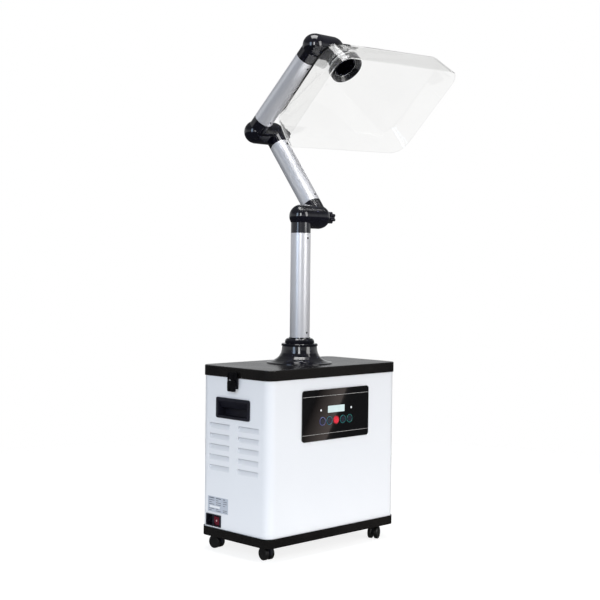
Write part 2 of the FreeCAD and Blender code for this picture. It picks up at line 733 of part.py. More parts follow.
def make_impeller(bottom):
    """A backward-blade wheel: a back plate, a hub, a patterned blade and a shroud ring."""
    body = doc.addObject("PartDesign::Body", "impeller_body")
    pad_ring(body, "impeller_plate", "wheel_radius", "shaft_radius + pin_clearance", "2")
    pad_ring(body, "impeller_hub", "16", "shaft_radius + pin_clearance", "24")
    blade = body.newObject("Sketcher::SketchObject", "impeller_blade")
    blade.AttachmentSupport = (origin_plane(body, "XY_Plane"), [""])
    blade.MapMode = "FlatFace"
    inner = Vector(size("wheel_radius") * 0.68, 0, 0)
    outer = Rotation(Vector(0, 0, 1), -12).multVec(Vector(size("wheel_radius") - 2, 0, 0))
    along = (outer - inner).normalize()
    across = Vector(-along.y, along.x, 0) * 0.8
    corners = [inner - across, outer - across, outer + across, inner + across]
    for i in range(4):
        blade.addGeometry(Part.LineSegment(corners[i], corners[(i + 1) % 4]))
    for i in range(4):
        blade.addConstraint(join_of(i, 4))
    pad = body.newObject("PartDesign::Pad", "impeller_blade_pad")
    pad.Profile = blade
    bind(pad, Length="wheel_height")
    doc.recompute()
    pattern = body.newObject("PartDesign::PolarPattern", "impeller_blades")
    pattern.Originals = [pad]
    pattern.Axis = (origin_axis(body, "Z_Axis"), [""])
    pattern.Angle = 360
    pattern.Occurrences = int(size("blade_count"))
    body.Tip = pattern
    doc.recompute()
    shroud = cylinder("impeller_shroud", "wheel_radius", "2", ("0", "0", "wheel_height - 2"))
    shroud_eye = cylinder("impeller_eye", "0.68*wheel_radius - 1", "4",
                          ("0", "0", "wheel_height - 3"))
    wheel = fuse("impeller", [body, cut("impeller_ring", shroud, [shroud_eye])])
    node("blower_impeller", wheel, Placement(Vector(0, 0, bottom), Rotation()))


def pad_ring(body, name, outer, inner, height):
    """A flat ring padded upward from a body's own floor."""
    drawing = sketch_on(body, name, "XY_Plane")
    for i, radius in enumerate((outer, inner)):
        drawing.addGeometry(Part.Circle(Vector(), Vector(0, 0, 1), value_of(radius)))
        drawing.addConstraint(Sketcher.Constraint("Coincident", i, 3, -1, 1))
        index = drawing.addConstraint(Sketcher.Constraint("Radius", i, value_of(radius)))
        drawing.setExpression(f"Constraints[{index}]", cells(radius))
    pad = body.newObject("PartDesign::Pad", name + "_pad")
    pad.Profile = drawing
    bind(pad, Length=height)


def origin_axis(body, role):
    """One of a body's own origin axes."""
    return next(f for f in body.Origin.OriginFeatures if f.Role == role)


# ---------------------------------------------------------------- castors


# Name, the signs of its corner, and the turn of its trail from +X.
CASTORS = (
    ("front_left", -1, -1, 85),
    ("back_left", -1, 1, 97),
    ("front_right", 1, -1, 205),
    ("back_right", 1, 1, 190),
)


def make_castors():
    plates = []
    for name, x, y, angle in CASTORS:
        corner = (f"{x}*castor_x", f"{y}*castor_y")
        plate = box("castor_mount", ("castor_plate", "castor_plate", "castor_plate_thick"),
                    (f"{corner[0]} - castor_plate/2", f"{corner[1]} - castor_plate/2",
                     "rim_bottom - castor_plate_thick"))
        hole = cylinder("castor_stem_hole", "castor_stem_radius + pin_clearance", "6",
                        (*corner, "rim_bottom - castor_plate_thick - 1"))
        plates.append(cut("castor_mounting", plate, [hole]))
        place = Placement(Vector(x * size("castor_x"), y * size("castor_y"), 0),
                          Rotation(Vector(0, 0, 1), angle))
        make_castor(name, place)
    node("castor_plates", group("castor_plate_set", plates))


def make_castor(name, place):
    """A twin-wheel castor drawn with its trail toward +X."""
    under = "rim_bottom - castor_plate_thick"
    stem = cylinder("fork_stem", "castor_stem_radius", f"{under} - stem_start + 2.2",
                    ("0", "0", "stem_start"))
    head = cylinder("fork_head", "8", "fork_gap - 0.3", ("0", "0", f"{under} - fork_gap"))
    web = box("fork_web", ("castor_trail + 14", "castor_web", f"{under} - fork_gap - fork_start"),
              ("-8", "-castor_web/2", "fork_start"))
    toe = cylinder("fork_toe", "7", "castor_web", ("castor_trail", "-castor_web/2",
                   "castor_wheel_radius"), "+Y")
    axle_hole = cylinder("fork_axle_hole", "castor_axle_radius + pin_clearance", "20",
                         ("castor_trail", "-10", "castor_wheel_radius"), "+Y")
    node(f"castor_fork_{name}",
         cut("fork", fuse("fork_solid", [stem, head, web, toe]), [axle_hole]), place)
    start = "castor_web/2 + 0.5"
    rim = "castor_wheel_radius"
    face = "castor_wheel_radius - castor_edge"
    pieces = [cylinder("castor_axle", "castor_axle_radius", "castor_web + 6",
                       ("castor_trail", "-castor_web/2 - 3", rim), "+Y")]
    for toward, sign in (("+Y", ""), ("-Y", "-")):
        pieces.append(cylinder("castor_tread", rim, "castor_wheel_width - 2*castor_edge",
                               ("castor_trail", f"{sign}({start} + castor_edge)", rim), toward))
        pieces.append(cone("castor_cheek", face, rim, "castor_edge",
                           ("castor_trail", f"{sign}({start})", rim), toward))
        pieces.append(cone("castor_face", rim, face, "castor_edge",
                           ("castor_trail", f"{sign}({start} + castor_wheel_width - castor_edge)",
                            rim), toward))
    node(f"castor_wheels_{name}", fuse("castor_wheels", pieces), place)


# ---------------------------------------------------------------- arm


def arm_points():
    """The six elbow centres of the arm at rest, and the head's frame."""
    tilt = math.radians(size("lower_tilt"))
    lean = math.radians(size("upper_tilt"))
    across = Vector(size("elbow_span"), 0, 0)
    first = Vector(0, size("arm_y"), size("lower_joint_z"))
    second = first + across
    third = second + Vector(0, math.sin(tilt), math.cos(tilt)) * size("lower_length")
    fourth = third - across
    fifth = fourth + Vector(0, -math.sin(lean), math.cos(lean)) * size("upper_length")
    return first, second, third, fourth, fifth, fifth + across


def tilted(angle, point):
    """A placement at a point, turned about X."""
    return Placement(point, Rotation(Vector(1, 0, 0), angle))


def make_arm_flange():
    foot = "lid_bottom + lid_height"
    outline = [
        ("spigot_radius + pin_clearance", foot),
        ("flange_radius", foot),
        ("flange_radius", f"{foot} + 2.5"),
        ("flange_radius - 8", f"{foot} + 4"),
        ("flange_radius - 18", f"{foot} + 7"),
        ("flange_radius - 26", f"{foot} + 12"),
        ("flange_radius - 32", f"{foot} + 18"),
        ("flange_radius - 36", f"{foot} + 26"),
        ("flange_radius - 38", f"{foot} + 34"),
        ("flange_radius - 39", f"{foot} + 42.5"),
        ("horn_ring_radius", f"{foot} + 43.5"),
        ("horn_ring_radius", f"{foot} + horn_height - 1"),
        ("horn_ring_radius - 1", f"{foot} + horn_height"),
        ("spigot_radius + pin_clearance", f"{foot} + horn_height"),
    ]
    horn = revolved("horn", outline)
    at(horn, "0", "arm_y", "0")
    sockets = []
    for i in range(4):
        x, y = bolt_place(i)
        sockets.append(cylinder("flange_socket", "2", "3.1", (x, y, foot)))
    node("arm_flange", cut("arm_flange_drilled", horn, sockets))


def make_swivel_collar():
    foot = "lid_bottom + lid_height + horn_height"
    outline = [
        ("tube_radius", f"{foot} - spigot_drop"),
        ("spigot_radius", f"{foot} - spigot_drop"),
        ("spigot_radius", f"{foot} + joint_gap"),
        ("collar_radius - 1", f"{foot} + joint_gap"),
        ("collar_radius", f"{foot} + joint_gap + 1"),
        ("collar_radius", f"{foot} + 7"),
        ("collar_radius - 1.5", f"{foot} + 10"),
        ("collar_radius - 5", f"{foot} + collar_height"),
        ("tube_radius + 2.6", f"{foot} + collar_height"),
        ("tube_radius + 1.6", f"{foot} + collar_height + 3"),
        ("tube_radius", f"{foot} + collar_height + 3"),
    ]
    collar = revolved("collar", outline)
    node("swivel_collar", collar, Placement(Vector(0, size("arm_y"), 0), Rotation()))


def make_tube(label, length, place, drilled_ends, side):
    """An open tube along local +Z, with a cross hole for the screw at each drilled end."""
    outer = cylinder(label + "_outer", "tube_radius", length)
    bore = cylinder(label + "_bore", "tube_radius - tube_wall", f"{length} + 2", ("0", "0", "-1"))
    holes = [
        cylinder(label + "_hole", "screw_radius", "tube_radius + 2", ("0", "0", z), side)
        for z in drilled_ends
    ]
    node(label, cut(label + "_cut", outer, [bore] + holes), place)


def make_screws(label, heights, place, side):
    """Small domed screws on a tube's face, one for each end."""
    sign = -1 if side == "-Y" else 1
    pieces = []
    for z in heights:
        shank = cylinder("screw_shank", "screw_radius - 0.02", "5",
                         ("0", f"{sign}*(tube_radius - 4.5)", z), side)
        head = cone("screw_head", "screw_head_radius", "screw_head_radius - 0.9", "1.4",
                    ("0", f"{sign}*(tube_radius + 0.05)", z), side)
        pieces.append(fuse("screw", [shank, head]))
    node(label, group(label + "_set", pieces), place)


def make_elbow(label, side, place, knob=False):
    """Half of a joint: a ball on a socket, with a drum toward +X or -X, drawn hanging down."""
    toward = "+X" if side > 0 else "-X"
    reach = "elbow_span/2 - joint_gap/2"
    plug = "tube_radius - tube_wall - plug_clearance"
    end = "-socket_length - plug_length"
    solids = [
        sphere(label + "_ball", "ball_radius"),
        cylinder(label + "_drum", "drum_joint_radius", reach, toward=toward),
        cylinder(label + "_socket", "tube_radius", "socket_length", toward="-Z"),
        cylinder(label + "_plug", plug, "socket_length + plug_length", toward="-Z"),
    ]
    voids = [
        sphere(label + "_chamber", "ball_radius - elbow_wall"),
        cylinder(label + "_mouth", "drum_joint_radius - elbow_wall - 1", f"{reach} + 1",
                 toward=toward),
        cylinder(label + "_bore", "bore_radius", "socket_length + plug_length + 1", toward="-Z"),
        cylinder(label + "_tap", "screw_radius", "2*tube_radius",
                 ("0", "-tube_radius", f"{end} + plug_length - screw_inset"), "+Y"),
    ]
    away = "-X" if side > 0 else "+X"
    sign = -1 if side > 0 else 1
    boss = cylinder(label + "_boss", "7", "9", (f"{sign}*(ball_radius - 12)", "0", "0"), away)
    hole = cylinder(label + "_stud_hole", "stud_radius + pin_clearance", "20",
                    (f"{sign}*(ball_radius - 13)", "0", "0"), away)
    shell = cut(label + "_shell", fuse(label + "_solid", solids), voids)
    drill = hole if knob else blind_hole(label, sign, away)
    node(label, cut(label + "_drilled", fuse(label + "_bossed", [shell, boss]), [drill]), place)


def blind_hole(label, sign, away):
    """The stud's far seat, which stops inside the ball's wall."""
    return cylinder(label + "_seat", "stud_radius + pin_clearance", "8",
                    (f"{sign}*(ball_radius - 13)", "0", "0"), away)


def make_knob(label, centre):
    """A lobed tension knob on a long stud, drawn along +Z and laid along +X."""
    body = doc.addObject("PartDesign::Body", label + "_grip")
    hub = sketch_on(body, label + "_hub", "XY_Plane")
    hub.addGeometry(Part.Circle(Vector(), Vector(0, 0, 1), size("knob_radius")))
    hub.addConstraint(Sketcher.Constraint("Coincident", 0, 3, -1, 1))
    index = hub.addConstraint(Sketcher.Constraint("Radius", 0, size("knob_radius")))
    hub.setExpression(f"Constraints[{index}]", cells("knob_radius"))
    core = body.newObject("PartDesign::Pad", label + "_core")
    core.Profile = hub
    bind(core, Length="knob_height")
    drawing = sketch_on(body, label + "_lobe", "XY_Plane")
    drawing.addGeometry(Part.Circle(Vector(size("knob_radius"), 0, 0), Vector(0, 0, 1),
                                    size("lobe_radius")))
    drawing.addConstraint(Sketcher.Constraint("PointOnObject", 0, 3, -1))
    index = drawing.addConstraint(Sketcher.Constraint("Radius", 0, size("lobe_radius")))
    drawing.setExpression(f"Constraints[{index}]", cells("lobe_radius"))
    index = drawing.addConstraint(
        Sketcher.Constraint("DistanceX", -1, 1, 0, 3, size("knob_radius")))
    drawing.setExpression(f"Constraints[{index}]", cells("knob_radius"))
    lobe = body.newObject("PartDesign::Pad", label + "_lobe_pad")
    lobe.Profile = drawing
    bind(lobe, Length="knob_height")
    doc.recompute()
    pattern = body.newObject("PartDesign::PolarPattern", label + "_lobes")
    pattern.Originals = [lobe]
    pattern.Axis = (origin_axis(body, "Z_Axis"), [""])
    pattern.Angle = 360
    pattern.Occurrences = int(size("lobe_count"))
    body.Tip = pattern
    neck = cylinder(label + "_neck", "7", "3", ("0", "0", "-2.6"))
    stud = cylinder(label + "_stud", "stud_radius", "elbow_span + 2*ball_radius - 4",
                    ("0", "0", "0"), "-Z")
    start = Vector(centre.x + size("ball_radius") + 3, centre.y, centre.z)
    turned = Placement(start, Rotation(Vector(0, 1, 0), 90))
    node(label, fuse(label + "_piece", [body, neck, stud]), turned)


def make_arm():
    first, second, third, fourth, fifth, sixth = arm_points()
    tilt = size("lower_tilt")
    lean = size("upper_tilt")
    base = value_of("lid_bottom + lid_height + horn_height - spigot_drop + 2")
    upright = Placement(Vector(0, size("arm_y"), base), Rotation())
    lower_length = f"lower_joint_z - socket_length - {base}"
    screw_low = f"lid_bottom + lid_height + horn_height + collar_height + 15 - {base}"
    make_tube("lower_tube", lower_length, upright,
              [screw_low, f"{lower_length} - screw_inset"], "-Y")
    make_screws("lower_tube_screws", [screw_low, f"{lower_length} - screw_inset"], upright, "-Y")

    socket = size("socket_length")
    along = Vector(0, math.sin(math.radians(tilt)), math.cos(math.radians(tilt)))
    middle = tilted(-tilt, second + along * socket)
    middle_length = "lower_length - 2*socket_length"
    ends = ["screw_inset", f"{middle_length} - screw_inset"]
    make_tube("middle_tube", middle_length, middle, ends, "-Y")
    make_screws("middle_tube_screws", ends, middle, "-Y")

    along = Vector(0, -math.sin(math.radians(lean)), math.cos(math.radians(lean)))
    upper = tilted(lean, fourth + along * socket)
    upper_length = "upper_length - 2*socket_length"
    ends = ["screw_inset", f"{upper_length} - screw_inset"]
    make_tube("upper_tube", upper_length, upper, ends, "-Y")
    make_screws("upper_tube_screws", ends, upper, "-Y")

    make_elbow("lower_elbow_base", 1, tilted(0, first))
    make_elbow("lower_elbow_head", -1, tilted(180 - tilt, second), knob=True)
    make_elbow("middle_elbow_base", -1, tilted(-tilt, third), knob=True)
    make_elbow("middle_elbow_head", 1, tilted(180 + lean, fourth))
    make_elbow("upper_elbow_base", 1, tilted(lean, fifth))
    for label, centre in (("lower_knob", second), ("middle_knob", third), ("upper_knob", sixth)):
        make_knob(label, centre)
    make_head(tilted(-size("head_tilt"), sixth))


# ---------------------------------------------------------------- hood and nozzle


def make_head(place):
    """The last elbow, the nozzle neck, the clamp ring, the hood and the nozzle ring."""
    label = "upper_elbow_head"
    reach = "elbow_span/2 - joint_gap/2"
    solids = [
        sphere(label + "_ball", "ball_radius"),
        cylinder(label + "_drum", "drum_joint_radius", reach, toward="-X"),
        cylinder(label + "_socket", "neck_radius + seat_wall", "head_socket", toward="-Z"),
    ]
    voids = [
        sphere(label + "_chamber", "ball_radius - elbow_wall"),
        cylinder(label + "_mouth", "drum_joint_radius - elbow_wall - 1", f"{reach} + 1",
                 toward="-X"),
        cylinder(label + "_bore", "neck_radius - neck_wall", "head_socket", toward="-Z"),
        cylinder(label + "_seat", "neck_radius + pin_clearance", "head_socket",
                 ("0", "0", "-neck_start + 0.2"), "-Z"),
    ]
    boss = cylinder(label + "_boss", "7", "9", ("ball_radius - 12", "0", "0"), "+X")
    hole = cylinder(label + "_stud_hole", "stud_radius + pin_clearance", "20",
                    ("ball_radius - 13", "0", "0"), "+X")
    shell = cut(label + "_shell", fuse(label + "_solid", solids), voids)
    node(label, cut(label + "_drilled", fuse(label + "_bossed", [shell, boss]), [hole]), place)
    neck = cylinder("neck_outer", "neck_radius", "neck_end - neck_start",
                    ("0", "0", "-neck_start"), "-Z")
    neck_bore = cylinder("neck_bore", "neck_radius - neck_wall", "neck_end", toward="-Z")
    node("nozzle_neck", cut("neck", neck, [neck_bore]), place)
    clamp = revolved("clamp", [
        ("neck_radius", "-clamp_start"),
        ("neck_radius", "-hood_start + 0.4"),
        ("clamp_radius", "-hood_start + 0.4"),
        ("clamp_radius", "-hood_start + 2.8"),
        ("clamp_radius - 2", "-clamp_start - 1"),
        ("neck_radius + 5", "-clamp_start"),
    ])
    node("hood_clamp", clamp, place)
    ring_start = "hood_start + hood_wall + 0.4"
    ring = revolved("ring", [
        ("neck_radius", f"-({ring_start})"),
        ("ring_radius - 2", f"-({ring_start})"),
        ("ring_radius", f"-({ring_start}) - 2"),
        ("ring_radius", f"-({ring_start}) - ring_length + 4"),
        ("ring_radius - 1.2", f"-({ring_start}) - ring_length + 1.2"),
        ("ring_radius - 3.4", f"-({ring_start}) - ring_length"),
        ("ring_radius - 5", f"-({ring_start}) - ring_length + 0.8"),
        ("neck_radius + 1.2", "-neck_end - 1"),
        ("neck_radius", "-neck_end - 1"),
    ])
    node("nozzle_ring", ring, place)
    make_hood(place)


def rounded_outline(width, depth, corner, z):
    """A closed rounded rectangle at a height, as four lines and four arcs."""
    x = width / 2
    y = depth / 2
    turns = ((1, -1, 270), (1, 1, 0), (-1, 1, 90), (-1, -1, 180))
    edges = []
    ends = []
    for sx, sy, angle in turns:
        centre = Vector(sx * (x - corner), sy * (y - corner), z)
        arc = Part.Arc(*(
            centre + Vector(corner * math.cos(math.radians(a)), corner * math.sin(math.radians(a)), 0)
            for a in (angle, angle + 45, angle + 90)))
        edges.append(arc.toShape())
        ends.append((arc.StartPoint, arc.EndPoint))
    ordered = []
    for i in range(4):
        ordered.append(edges[i])
        ordered.append(Part.LineSegment(ends[i][1], ends[(i + 1) % 4][0]).toShape())
    return Part.Wire(ordered)


def hood_form(shrink, shift, stretch):
    """The hood's outside, or its inside when shrunk and shifted toward the rim."""
    corner = size("hood_corner")
    width = size("hood_width")
    depth = size("hood_depth")
    plate = size("hood_plate")
    sections = [
        (plate, plate, corner, -size("hood_start") - shift),
        (width - 2 * size("hood_flare_x"), depth - 2 * size("hood_flare_y"), corner,
         -size("hood_bend") - shift),
        (width, depth, corner, -size("hood_rim") - stretch),
    ]
    wires = [
        rounded_outline(w - 2 * shrink, d - 2 * shrink, r - shrink, z) for w, d, r, z in sections
    ]
    form = Part.makeLoft(wires, True, True)
    form.translate(Vector(0, size("hood_offset"), 0))
    return form


def make_hood(place):
    """The clear hood: a sloped crown with a round hole, and a straight skirt below its bend."""
    wall = size("hood_wall")
    outside = hood_form(0, 0, 0)
    inside = hood_form(wall, wall, 1)
    hole = Part.makeCylinder(size("neck_radius") + 0.6, wall + 10,
                             Vector(0, 0, -size("hood_start") + 5), Vector(0, 0, -1))
    turned = place.multiply(Placement(Vector(), Rotation(Vector(0, 0, 1), -size("hood_rest_turn"))))
    node("hood", feature("hood_form", outside.cut(inside).cut(hole)), turned)


# ---------------------------------------------------------------- build and write


def make_all():
    make_cabinet_shell()
    make_base_tray()
    make_lid()
    make_filter_gasket()
    make_control_panel()
    make_panel_parts()
    make_side_handles()
    make_mains_inlet()
    make_rocker_switch()
    make_latches()
    make_filter_shelf()
    make_filters()
    make_blower()
    make_castors()
    make_arm_flange()
    make_flange_screws()
    make_swivel_collar()
    make_arm()


def check_all():
    """Stop unless every object was built and every sub-part is a valid solid."""
    broken = [o.Name for o in doc.Objects if set(o.State) & {"Invalid", "Error"}]
    if broken:
        raise SystemExit(f"failed objects: {broken}")
    for obj in NODES:
        shape = obj.Shape
        if shape.isNull() or not shape.isValid() or not shape.Solids:
            raise SystemExit(f"{obj.Label}: no valid solid")


def write_all():
    os.makedirs("parts", exist_ok=True)
    for obj in NODES:
        obj.Shape.exportStep(f"parts/{obj.Label}.step")
        bounds = obj.Shape.BoundBox
        print(f"{obj.Label}: {len(obj.Shape.Solids)} solid(s), {obj.Shape.Volume / 1000:.1f} cm3, "
              f"z {bounds.ZMin:.1f} to {bounds.ZMax:.1f}")


make_all()
doc.recompute()
check_all()
write_all()
print(f"{len(NODES)} nodes")
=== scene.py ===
"""Looks of the salon fume extractor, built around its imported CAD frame. Metres, +Z up."""
import json
import math

import bmesh
import bpy
from mathutils import Matrix, Vector


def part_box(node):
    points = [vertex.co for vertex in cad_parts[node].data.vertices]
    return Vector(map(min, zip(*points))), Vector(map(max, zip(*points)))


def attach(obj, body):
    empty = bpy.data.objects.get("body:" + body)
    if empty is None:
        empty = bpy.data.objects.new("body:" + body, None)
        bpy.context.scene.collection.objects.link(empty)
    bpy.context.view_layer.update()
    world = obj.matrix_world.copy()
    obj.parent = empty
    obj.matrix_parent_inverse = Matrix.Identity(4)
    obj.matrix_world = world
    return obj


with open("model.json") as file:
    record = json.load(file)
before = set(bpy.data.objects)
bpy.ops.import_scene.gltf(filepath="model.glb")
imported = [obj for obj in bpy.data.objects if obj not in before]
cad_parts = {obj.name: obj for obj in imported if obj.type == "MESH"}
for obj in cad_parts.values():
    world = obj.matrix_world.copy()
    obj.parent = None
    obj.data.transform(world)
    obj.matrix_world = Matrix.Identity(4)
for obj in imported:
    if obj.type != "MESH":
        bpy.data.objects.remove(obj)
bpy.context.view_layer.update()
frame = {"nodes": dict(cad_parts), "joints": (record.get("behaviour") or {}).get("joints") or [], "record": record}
NODES = frame["nodes"]

# The viewpoint: level with the arm's lower tube, 3.1 m from the arm's axis, past the cabinet's
# front left corner. Angles in degrees, lens and sensor in millimetres.
CAMERA_PLACE = Vector((-2.1969, -2.1952, 0.7063))
CAMERA_AZIMUTH = -44.917
CAMERA_ELEVATION = 1.711
CAMERA_ROLL = 0.649
CAMERA_LENS = 74.12
CAMERA_SENSOR = 36.0
CAMERA_REACH = 50.0

FLOOR_RADIUS = 2.0
FLOOR_GLOW = 0.83
# The parts of the floor's radius where it starts to fade and where it has gone.
FADE_START = 0.45
FADE_END = 0.98

# The control panel's two trim lines: how far up it they run, their width and their inset.
PANEL_LINES = (0.13, 0.87)
LINE_WIDTH = 0.0008
LINE_INSET = 0.0006
# How far the panel's printed parts stand out of its face and reach into it.
LINE_RAISE = 0.0002
MASK_RAISE = 0.0001
PRINT_SINK = 0.0002
# How far the screen's masks reach past its edges, and over its low and its high edge.
MASK_PAST = 0.0003
MASK_LOW = 0.0022
MASK_HIGH = 0.001
# The ring round a button: its inner and outer edge from the button's, its foot and its thickness.
RING_GAP = 0.0005
RING_REACH = 0.0017
RING_FOOT = 0.0001
RING_THICK = 0.0003

# The rating label on the cabinet's left side, with places as Y, towards the back, and Z.
LABEL_LOW = (0.020, 0.097)
LABEL_HIGH = (0.094, 0.135)
LABEL_FILM = 0.0003
LABEL_INK = 0.0001
LABEL_BEVEL = 0.0001
# Where each column of rules starts and ends in Y, and the height of each row.
LABEL_COLUMNS = ((0.090, 0.070), (0.064, 0.046), (0.038, 0.024))
LABEL_ROWS = (0.1315, 0.126, 0.121, 0.116, 0.105, 0.101)
# Half the height of the first row's rules and of the others, and how much of a short rule is left.
LABEL_BOLD = 0.0011
LABEL_THIN = 0.0007
LABEL_SHORT = 0.5
LABEL_BAR_LOW = (0.050, 0.1075)
LABEL_BAR_HIGH = (0.086, 0.1125)

# The lamp window in the rocker: its rim, its shoulder, its crown, and its place from the rocker's box.
LENS_RADIUS = 0.0028
LENS_SHOULDER_RADIUS = 0.0022
LENS_SHOULDER = 0.0005
LENS_CROWN = 0.0007
LENS_INSET = 0.0004
LENS_RISE = 0.001

# The nozzle's flared mouth, measured from the last joint along the hood's axis.
THROAT_RADIUS = 0.0290
THROAT_DEPTH = 0.0698
MOUTH_RADIUS = 0.0373
MOUTH_DEPTH = 0.0796
# The thickness of the bright zinc ring at the throat, a painted highlight on the throat's edge.
HIGHLIGHT_LIP_WIRE = 0.0007
RIB_WIRE = 0.0006
RIB_COUNT = 4

# How many sides a turned piece and a round wire have.
TURNED_SIDES = 64
WIRE_SIDES = 8

# What the room glows with against the sine of its height over the horizon.
ROOM_GLOW = ((-1.0, 0.05), (-0.03, 0.06), (0.02, 0.55), (0.2, 0.5), (0.4, 0.13), (1.0, 0.2))
ROOM_TINT = (0.97, 0.985, 1.0)
# A Mix node's colour sockets, which share their names with its number sockets.
MIX_A = 6
MIX_B = 7
MIX_RESULT = 2
# Name, place, what it is turned to, width and height, watts and colour of each softbox.
SOFTBOXES = (
    ("key", (0.9, -3.4, 2.0), (0, 0, 0.6), (1.5, 2.4), 55, (1.0, 0.99, 0.98)),
    ("corner", (-2.7, -2.5, 1.9), (0, 0, 0.5), (0.7, 1.8), 36, (0.97, 0.98, 1.0)),
    ("side", (-3.3, -0.5, 1.7), (0, 0, 0.5), (0.9, 1.8), 23, (0.60, 0.77, 1.0)),
    ("top", (-0.2, -0.2, 3.4), (0, 0, 0.4), (1.6, 1.6), 48, (1.0, 1.0, 1.0)),
)
# A slanted card that the camera can't see, placed for the control panel to mirror, though any glossy
# surface can mirror it too: the ends of its right edge, its width and its glow.
CARD_HIGH = Vector((1.64, -1.6, 0.20))
CARD_LOW = Vector((1.50, -1.6, -0.04))
CARD_WIDTH = 0.17
CARD_GLOW = (0.95, 0.80, 0.74)


# ---------------------------------------------------------------- material helpers


def fill_ramp(ramp, stops):
    """Give a colour ramp its stops, each a place and a colour."""
    elements = ramp.color_ramp.elements
    while len(elements) < len(stops):
        elements.new(0.5)
    for element, (place, colour) in zip(elements, stops):
        element.position = place
        element.color = (*colour, 1.0)


class Shader:
    """A node tree around one Principled shader, with short calls for its usual parts."""

    def __init__(self, name, colour, roughness=0.5, metallic=0.0, **sockets):
        self.material = bpy.data.materials.new(name)
        self.material.use_nodes = True
        self.tree = self.material.node_tree
        self.shader = self.tree.nodes["Principled BSDF"]
        self.set("Base Color", (*colour, 1.0))
        self.set("Roughness", roughness)
        self.set("Metallic", metallic)
        for key, value in sockets.items():
            self.set(key.replace("_", " "), value)
        self.last_bump = None

    def set(self, socket, value):
        self.shader.inputs[socket].default_value = value

    def node(self, kind, **settings):
        made = self.tree.nodes.new(kind)
        for key, value in settings.items():
            if key in made.inputs:
                made.inputs[key].default_value = value
            else:
                setattr(made, key, value)
        return made

    def link(self, start, end):
        self.tree.links.new(start, end)

    def where(self, scale=(1, 1, 1)):
        """Object coordinates, which are metres in the CAD frame, stretched by a scale."""
        place = self.node("ShaderNodeTexCoord")
        mapping = self.node("ShaderNodeMapping")
        mapping.inputs["Scale"].default_value = scale
        self.link(place.outputs["Object"], mapping.inputs["Vector"])
        return mapping.outputs["Vector"]

    def noise(self, scale, detail=3.0, stretch=(1, 1, 1), roughness=0.5):
        made = self.node("ShaderNodeTexNoise", Scale=scale, Detail=detail, Roughness=roughness)
        self.link(self.where(stretch), made.inputs["Vector"])
        return made.outputs["Fac"]

    def ramp(self, source, stops):
        made = self.node("ShaderNodeValToRGB")
        fill_ramp(made, stops)
        self.link(source, made.inputs["Fac"])
        return made.outputs["Color"]

    def vary_colour(self, source, low, high):
        self.link(self.ramp(source, ((0.3, low), (0.7, high))), self.shader.inputs["Base Color"])

    def vary_roughness(self, source, low, high):
        made = self.node("ShaderNodeMapRange")
        made.inputs["To Min"].default_value = low
        made.inputs["To Max"].default_value = high
        self.link(source, made.inputs["Value"])
        self.link(made.outputs["Result"], self.shader.inputs["Roughness"])

    def bump(self, source, strength, distance):
        made = self.node("ShaderNodeBump", Strength=strength, Distance=distance)
        self.link(source, made.inputs["Height"])
        if self.last_bump:
            self.link(self.last_bump, made.inputs["Normal"])
        self.last_bump = made.outputs["Normal"]
        self.link(self.last_bump, self.shader.inputs["Normal"])


def smudged(shader, low, high, scale=14.0):
    """Roughness that wanders a little, as on handled plastic."""
    shader.vary_roughness(shader.noise(scale, 4.0), low, high)


# ---------------------------------------------------------------- materials


def white_paint():
    s = Shader("white_powder_coat", (0.86, 0.88, 0.91), 0.32, Coat_Weight=0.25, Coat_Roughness=0.18)
    s.vary_colour(s.noise(3.0, 2.0), (0.85, 0.87, 0.905), (0.885, 0.9, 0.93))
    s.bump(s.noise(900.0, 2.0), 0.12, 0.0004)
    smudged(s, 0.26, 0.4)
    return s.material


def black_plate(name="black_satin_moulding"):
    s = Shader(name, (0.006, 0.0055, 0.0055), 0.2)
    s.vary_colour(s.noise(8.0), (0.004, 0.0035, 0.0035), (0.009, 0.008, 0.0075))
    s.bump(s.noise(1400.0, 1.0), 0.03, 0.0002)
    smudged(s, 0.15, 0.25)
    return s.material


def joint_gloss():
    s = Shader("polished_black_moulding", (0.004, 0.004, 0.008), 0.08, Coat_Weight=0.5,
               Coat_Roughness=0.04)
    s.vary_colour(s.noise(20.0), (0.003, 0.003, 0.006), (0.006, 0.006, 0.012))
    s.bump(s.noise(60.0, 2.0), 0.05, 0.0006)
    smudged(s, 0.06, 0.15, 30.0)
    return s.material


# The hood clamp's collar is painted pale grey in place of black: a painted reflection, standing for the white
# sheen the clear hood throws over it.
def painted_sheen_collar():
    s = Shader("collar_painted_sheen", (0.62, 0.62, 0.61), 0.25, Coat_Weight=0.4, Coat_Roughness=0.1)
    s.vary_colour(s.noise(30.0), (0.55, 0.55, 0.54), (0.70, 0.70, 0.69))
    smudged(s, 0.2, 0.34, 40.0)
    return s.material


def matte_black():
    s = Shader("textured_black_plastic", (0.008, 0.008, 0.016), 0.45)
    s.vary_colour(s.noise(40.0), (0.006, 0.006, 0.012), (0.012, 0.012, 0.022))
    s.bump(s.noise(2200.0, 1.0), 0.2, 0.0003)
    smudged(s, 0.36, 0.52, 50.0)
    return s.material


def anodised(name, lean):
    """Drawn tube: fine lines along the tube, which leans about X by so many degrees."""
    s = Shader(name, (0.86, 0.86, 0.89), 0.3, 0.55)
    upright = s.node("ShaderNodeMapping")
    upright.inputs["Rotation"].default_value = (math.radians(-lean), 0, 0)
    s.link(s.where(), upright.inputs["Vector"])
    drawn = s.node("ShaderNodeMapping")
    drawn.inputs["Scale"].default_value = (1, 1, 0.01)
    s.link(upright.outputs["Vector"], drawn.inputs["Vector"])
    lines = s.node("ShaderNodeTexNoise", Scale=700.0, Detail=2.0)
    s.link(drawn.outputs["Vector"], lines.inputs["Vector"])
    s.vary_colour(s.noise(9.0), (0.84, 0.84, 0.87), (0.88, 0.88, 0.92))
    s.vary_roughness(lines.outputs["Fac"], 0.27, 0.33)
    s.bump(lines.outputs["Fac"], 0.015, 0.0002)
    return s.material


